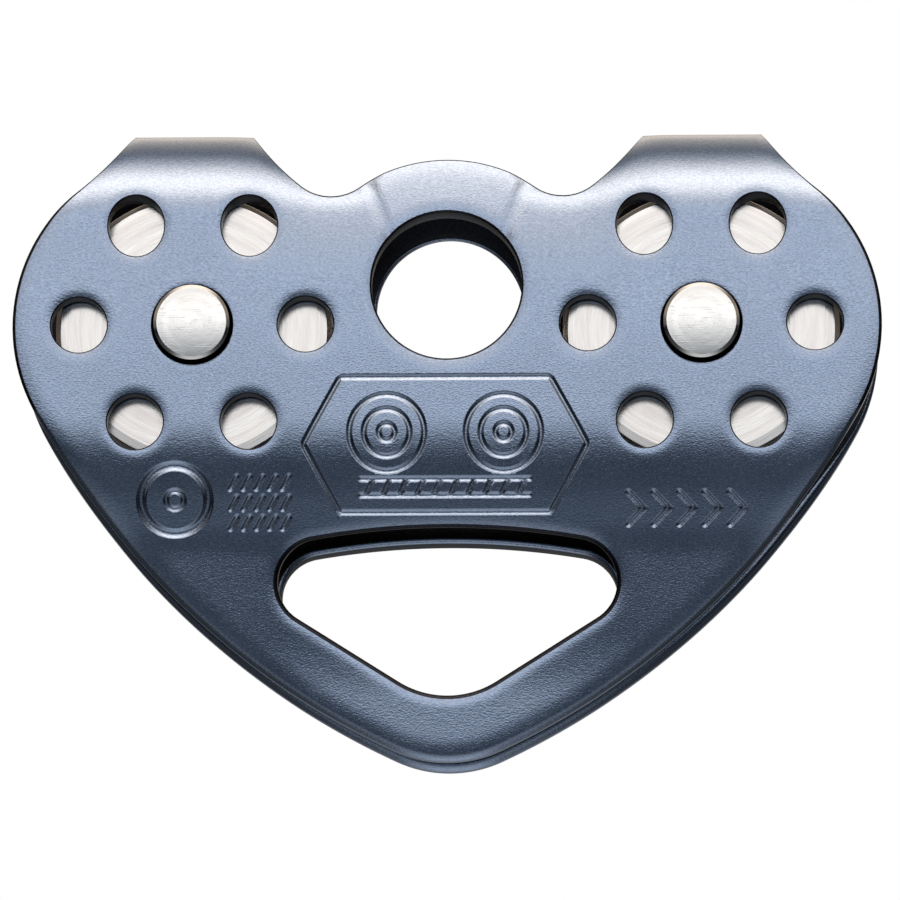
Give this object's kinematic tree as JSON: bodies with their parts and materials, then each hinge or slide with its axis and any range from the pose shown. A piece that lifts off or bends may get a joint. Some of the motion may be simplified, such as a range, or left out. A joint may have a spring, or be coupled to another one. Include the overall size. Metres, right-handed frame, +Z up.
{
  "type": "tandem rope pulley",
  "caption": "Tandem rope pulley with heart-shaped blue-grey anodised side plates, bright grooved sheaves in line on riveted axles, a round top hole and a carabiner slot below.",
  "frame": {"origin": "centre of the round top hole, midway between the two side plates", "axes": "X along the rope from axle to axle, Y across the plates with the front plate at -Y, Z up from the carabiner slot to the top hole"},
  "size_m": [0.1134, 0.0266, 0.0838],
  "materials": {
    "anodised_plate": "satin",
    "polished_steel": "polished",
    "turned_aluminium": "turned",
    "bearing_bronze": "satin"
  },
  "bodies": {
    "frame": {"side_plate_front": "anodised_plate", "side_plate_back": "anodised_plate", "axle_left": "polished_steel", "axle_right": "polished_steel", "sleeve_left": "polished_steel", "sleeve_right": "polished_steel", "washer_left_front": "bearing_bronze", "washer_left_back": "bearing_bronze", "washer_right_front": "bearing_bronze", "washer_right_back": "bearing_bronze"},
    "left_wheel": {"sheave_left": "turned_aluminium", "bush_left_front": "bearing_bronze", "bush_left_back": "bearing_bronze"},
    "right_wheel": {"sheave_right": "turned_aluminium", "bush_right_front": "bearing_bronze", "bush_right_back": "bearing_bronze"}
  },
  "joints": [
    {"name": "sheave_left_spin", "type": "hinge", "parent": "frame", "child": "left_wheel", "pos_m": [-0.0332, 0, -0.0052], "axis": [0, 1, 0], "continuous": true},
    {"name": "sheave_right_spin", "type": "hinge", "parent": "frame", "child": "right_wheel", "pos_m": [0.0332, 0, -0.0052], "axis": [0, 1, 0], "continuous": true}
  ]
}
